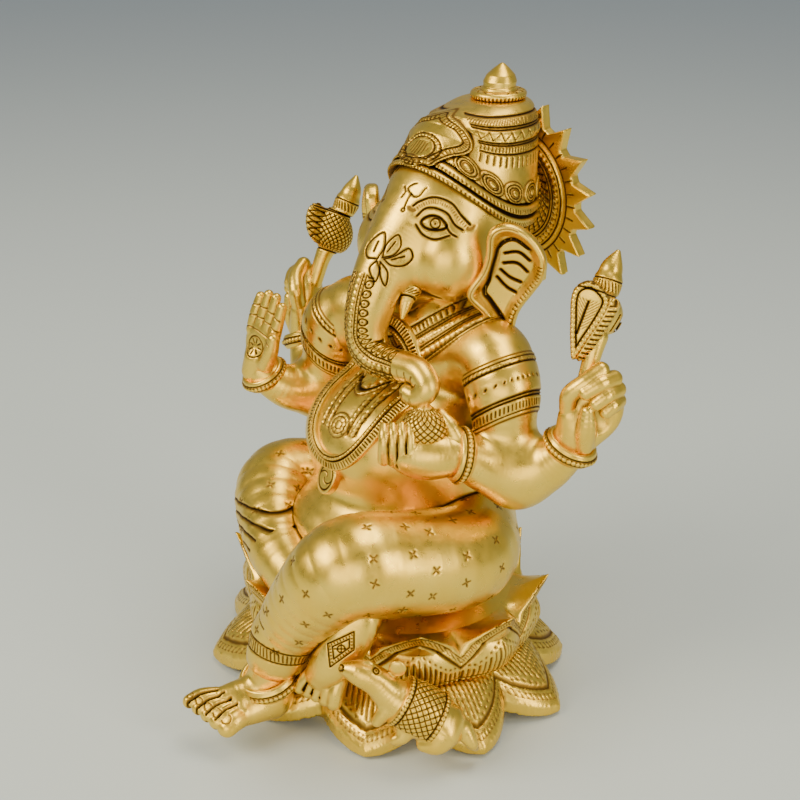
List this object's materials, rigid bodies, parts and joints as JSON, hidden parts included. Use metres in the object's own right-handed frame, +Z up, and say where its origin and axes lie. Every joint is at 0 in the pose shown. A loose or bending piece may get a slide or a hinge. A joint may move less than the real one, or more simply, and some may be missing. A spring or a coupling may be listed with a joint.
{
  "type": "hindu deity statue",
  "caption": "Four-armed elephant-headed deity in satin brass, seated on a double lotus with a rayed halo, tall crown, held emblems, a sweet and a small mouse at the feet",
  "frame": {"origin": "centre of the flat underside of the lotus base, on the surface it stands on", "axes": "+Z up; the figure faces -Y; its left side is +X"},
  "size_m": [0.1831, 0.1858, 0.254],
  "materials": {
    "brass": "satin brushed brass with a dark patina left in the chased lines"
  },
  "bodies": {
    "root": {"anklet": "brass", "axe_emblem": "brass", "conch_emblem": "brass", "crown": "brass", "crown_finial": "brass", "front_foot": "brass", "halo": "brass", "head": "brass", "left_back_bangle": "brass", "left_back_forearm": "brass", "left_back_hand": "brass", "left_ear": "brass", "left_front_bangle": "brass", "left_front_forearm": "brass", "left_front_hand": "brass", "left_leg": "brass", "left_tusk": "brass", "left_upper_arm": "brass", "lotus_lower_tier": "brass", "lotus_upper_tier": "brass", "modak_sweet": "brass", "mouse": "brass", "necklace": "brass", "necklace_pendant": "brass", "right_back_bangle": "brass", "right_back_forearm": "brass", "right_back_hand": "brass", "right_ear": "brass", "right_front_bangle": "brass", "right_front_forearm": "brass", "right_front_hand": "brass", "right_leg": "brass", "right_tusk": "brass", "right_upper_arm": "brass", "saddle_cloth": "brass", "seat_dome": "brass", "torso": "brass", "trunk": "brass", "tucked_foot": "brass"}
  },
  "joints": []
}
